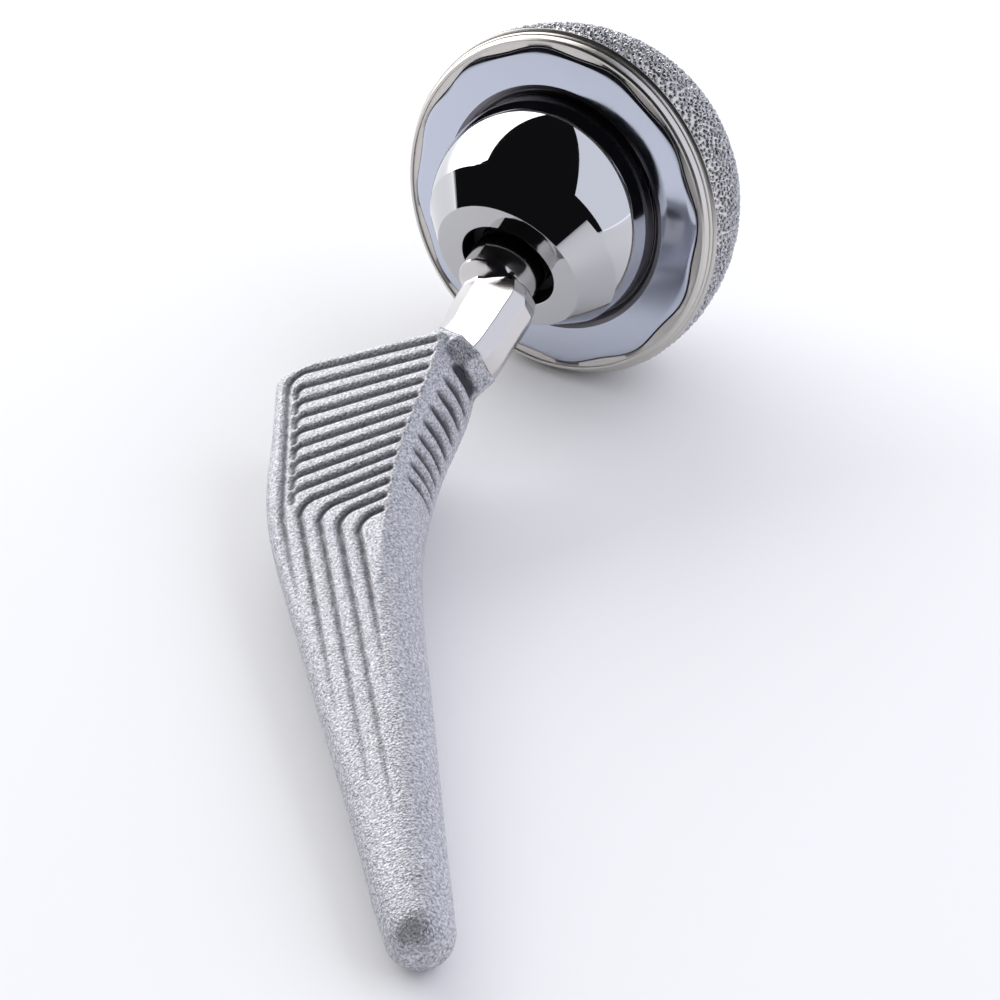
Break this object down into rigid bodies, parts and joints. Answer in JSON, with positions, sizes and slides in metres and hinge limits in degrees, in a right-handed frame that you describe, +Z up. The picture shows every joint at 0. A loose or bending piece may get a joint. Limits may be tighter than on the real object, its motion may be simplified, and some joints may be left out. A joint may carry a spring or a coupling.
{
  "type": "hip implant stem",
  "caption": "Hip implant: grooved, rough-coated stem with a polished neck, a ball head on its taper and a lobed metal liner in a porous cup.",
  "frame": {"origin": "middle of the implant's plan box, on the surface that it lies on", "axes": "+Y from the stem's tip towards its shoulder, +X towards the side where the ball leans, +Z up off the surface"},
  "size_m": [0.079, 0.1704, 0.0557],
  "materials": {
    "rough_titanium": "rough sprayed titanium coating, matte, with a polished neck",
    "mirror_cobalt_chrome": "mirror polished",
    "polished_cobalt_chrome": "polished",
    "porous_titanium": "sintered beads on the dome, bright turned rim"
  },
  "bodies": {
    "stem": {"femoral_stem": "rough_titanium"},
    "head": {"femoral_head": "mirror_cobalt_chrome"},
    "cup": {"acetabular_liner": "polished_cobalt_chrome", "acetabular_shell": "porous_titanium"}
  },
  "joints": [
    {"name": "ball_turn", "type": "hinge", "parent": "stem", "child": "head", "pos_m": [0.00913, 0.05446, 0.02833], "axis": [-0.5976, -0.7434, -0.3003], "continuous": true},
    {"name": "cup_swing", "type": "hinge", "parent": "head", "child": "cup", "pos_m": [0.00913, 0.05446, 0.02833], "axis": [-0.7488, 0.6514, -0.1223], "range_deg": [-94, 46]}
  ]
}
